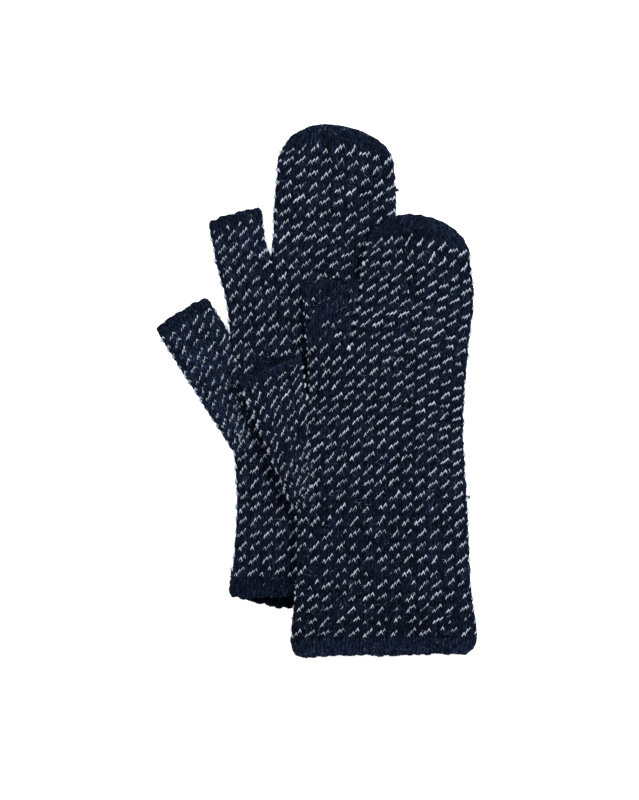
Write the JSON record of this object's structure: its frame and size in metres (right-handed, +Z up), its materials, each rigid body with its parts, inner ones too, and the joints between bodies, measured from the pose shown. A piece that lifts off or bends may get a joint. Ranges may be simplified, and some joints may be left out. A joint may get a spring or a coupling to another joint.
{
  "type": "knitted mittens",
  "caption": "Pair of long-cuffed knitted mittens lying flat, with an open thumb, an open index finger and a closed pouch for the other fingers.",
  "frame": {"origin": "on the floor under the middle of the pair's bounding box", "axes": "+Z up from the floor the pair lies on, +Y from the cuffs to the fingertips, -X towards both thumbs"},
  "size_m": [0.1948, 0.3249, 0.0186],
  "materials": {
    "patterned_knit": "matte woollen knit, off-white flecks on navy",
    "plain_knit": "matte woollen knit, plain navy"
  },
  "bodies": {
    "lower_hand": {"lower_hand": "patterned_knit", "lower_cuff_hem": "plain_knit", "lower_pouch_base": "patterned_knit"},
    "lower_thumb": {"lower_thumb": "patterned_knit", "lower_thumb_edge": "plain_knit"},
    "lower_index": {"lower_index": "patterned_knit", "lower_index_edge": "plain_knit"},
    "lower_pouch": {"lower_pouch": "patterned_knit", "lower_pouch_toe": "plain_knit", "lower_yarn_end": "plain_knit"},
    "upper_hand": {"upper_hand": "patterned_knit", "upper_cuff_hem": "plain_knit", "upper_pouch_base": "patterned_knit", "upper_yarn_end": "plain_knit"},
    "upper_thumb": {"upper_thumb": "patterned_knit", "upper_thumb_edge": "plain_knit"},
    "upper_index": {"upper_index": "patterned_knit", "upper_index_edge": "plain_knit"},
    "upper_pouch": {"upper_pouch": "patterned_knit", "upper_pouch_toe": "plain_knit"}
  },
  "joints": [
    {"name": "upper_lift_off", "type": "slide", "parent": "lower_hand", "child": "upper_hand", "axis": [0, 0, 1], "range_m": [0, 0.15]},
    {"name": "lower_thumb_fold", "type": "hinge", "parent": "lower_hand", "child": "lower_thumb", "pos_m": [-0.0698, 0.02705, 0.0093], "axis": [0.8553, 0.5181, 0], "range_deg": [0, 90]},
    {"name": "lower_index_fold", "type": "hinge", "parent": "lower_hand", "child": "lower_index", "pos_m": [-0.0444, 0.07805, 0.0093], "axis": [0.9627, 0.2704, 0], "range_deg": [0, 90]},
    {"name": "lower_pouch_fold", "type": "hinge", "parent": "lower_hand", "child": "lower_pouch", "pos_m": [0.011, 0.119, 0.0093], "axis": [1, 0, 0], "range_deg": [0, 90]},
    {"name": "upper_thumb_fold", "type": "hinge", "parent": "upper_hand", "child": "upper_thumb", "pos_m": [-0.0221, -0.0119, 0.0189], "axis": [0.9297, 0.3684, 0], "range_deg": [0, 90]},
    {"name": "upper_index_fold", "type": "hinge", "parent": "upper_hand", "child": "upper_index", "pos_m": [0.00655, 0.02725, 0.0189], "axis": [0.9942, 0.1072, 0], "range_deg": [0, 90]},
    {"name": "upper_pouch_fold", "type": "hinge", "parent": "upper_hand", "child": "upper_pouch", "pos_m": [0.06, 0.065, 0.0189], "axis": [1, 0, 0], "range_deg": [0, 90]}
  ]
}
